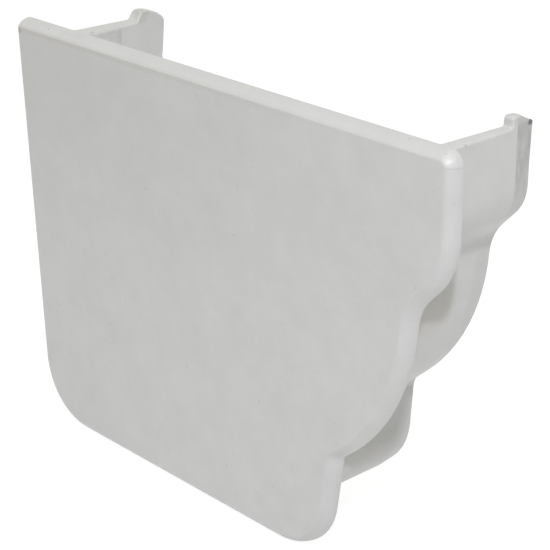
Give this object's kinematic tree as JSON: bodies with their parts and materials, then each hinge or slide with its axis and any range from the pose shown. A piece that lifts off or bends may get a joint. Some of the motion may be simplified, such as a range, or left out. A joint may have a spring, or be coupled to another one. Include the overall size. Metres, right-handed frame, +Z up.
{
  "type": "gutter end cap",
  "caption": "Moulded end cap for an ogee rain gutter: a flat ogee-outlined plate with a short tapered skirt behind it that plugs the gutter's end and snap lugs on the skirt's walls.",
  "frame": {"origin": "top fascia corner of the plate's inner face, where the gutter's cut end stops", "axes": "+X from the fascia side to the front, +Y along the gutter away from the plate, +Z up"},
  "size_m": [0.1268, 0.0235, 0.0924],
  "materials": {
    "upvc": "white uPVC, as moulded, satin sheen"
  },
  "bodies": {
    "root": {"end_cap": "upvc"}
  },
  "joints": []
}
